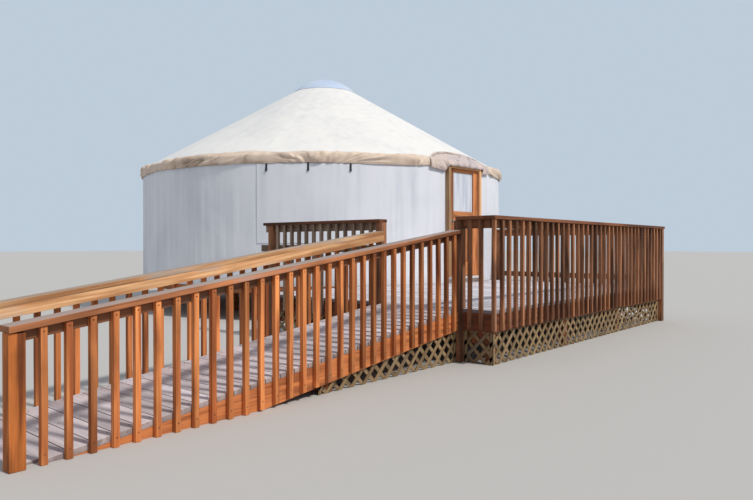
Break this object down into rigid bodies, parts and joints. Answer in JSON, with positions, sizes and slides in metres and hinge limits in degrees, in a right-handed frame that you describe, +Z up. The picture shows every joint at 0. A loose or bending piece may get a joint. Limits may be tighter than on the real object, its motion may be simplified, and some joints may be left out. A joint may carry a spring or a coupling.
{
  "type": "yurt",
  "caption": "Round fabric yurt on a timber platform, with a cone roof, skylight dome, framed door, entrance deck, sloped ramp, picket guards and lattice skirt.",
  "frame": {"origin": "centre of the yurt at ground level, on the bottom face of the middle platform pier", "axes": "+X along the ramp as it climbs and along the deck's front, +Y from the door to the back of the yurt, +Z up"},
  "size_m": [12.1565, 10.2826, 4.7262],
  "materials": {
    "wall_canvas": "coated canvas, satin",
    "roof_canvas": "coated canvas, satin",
    "valance_canvas": "matt canvas",
    "webbing": "woven webbing",
    "dome_acrylic": "clouded acrylic",
    "glass": "clear",
    "steel": "brushed",
    "door_cedar": "oiled",
    "floor_boards": "varnished",
    "raw_timber": "planed",
    "stained_timber": "weathered stain",
    "weathered_timber": "weathered grey",
    "skirt_timber": "weathered"
  },
  "bodies": {
    "root": {"platform_floor": "floor_boards", "platform_hoop": "stained_timber", "platform_joists": "raw_timber", "platform_supports": "stained_timber", "wall_left": "wall_canvas", "wall_back": "wall_canvas", "wall_right": "wall_canvas", "wall_over_door": "wall_canvas", "lattice_left": "raw_timber", "lattice_back": "raw_timber", "lattice_right": "raw_timber", "tension_cable": "steel", "rafters": "raw_timber", "centre_ring": "raw_timber", "roof_cover": "roof_canvas", "eave_valance": "valance_canvas", "rain_diverter": "valance_canvas", "skylight_dome": "dome_acrylic", "window_flap": "wall_canvas", "flap_straps": "webbing", "door_frame": "door_cedar", "door_sill": "weathered_timber", "hinge_pins": "steel", "deck_floor": "weathered_timber", "deck_rim": "stained_timber", "deck_joists": "raw_timber", "deck_supports": "stained_timber", "ramp_floor": "weathered_timber", "ramp_stringers": "stained_timber", "guard_posts": "stained_timber", "ramp_rails": "stained_timber", "near_ramp_pickets": "stained_timber", "far_ramp_pickets": "stained_timber", "deck_rails": "stained_timber", "front_pickets": "stained_timber", "right_pickets": "stained_timber", "left_rails": "stained_timber", "left_pickets": "stained_timber", "front_skirt": "skirt_timber", "side_skirts": "skirt_timber", "ramp_skirts": "skirt_timber"},
    "door": {"door_leaf": "door_cedar", "door_glass": "glass", "door_knobs": "steel", "hinge_knuckles": "steel"}
  },
  "joints": [
    {"name": "door_swing", "type": "hinge", "parent": "root", "child": "door", "pos_m": [0.21869, -3.6134, 1.6], "axis": [0, 0, -1], "range_deg": [0, 100]}
  ]
}
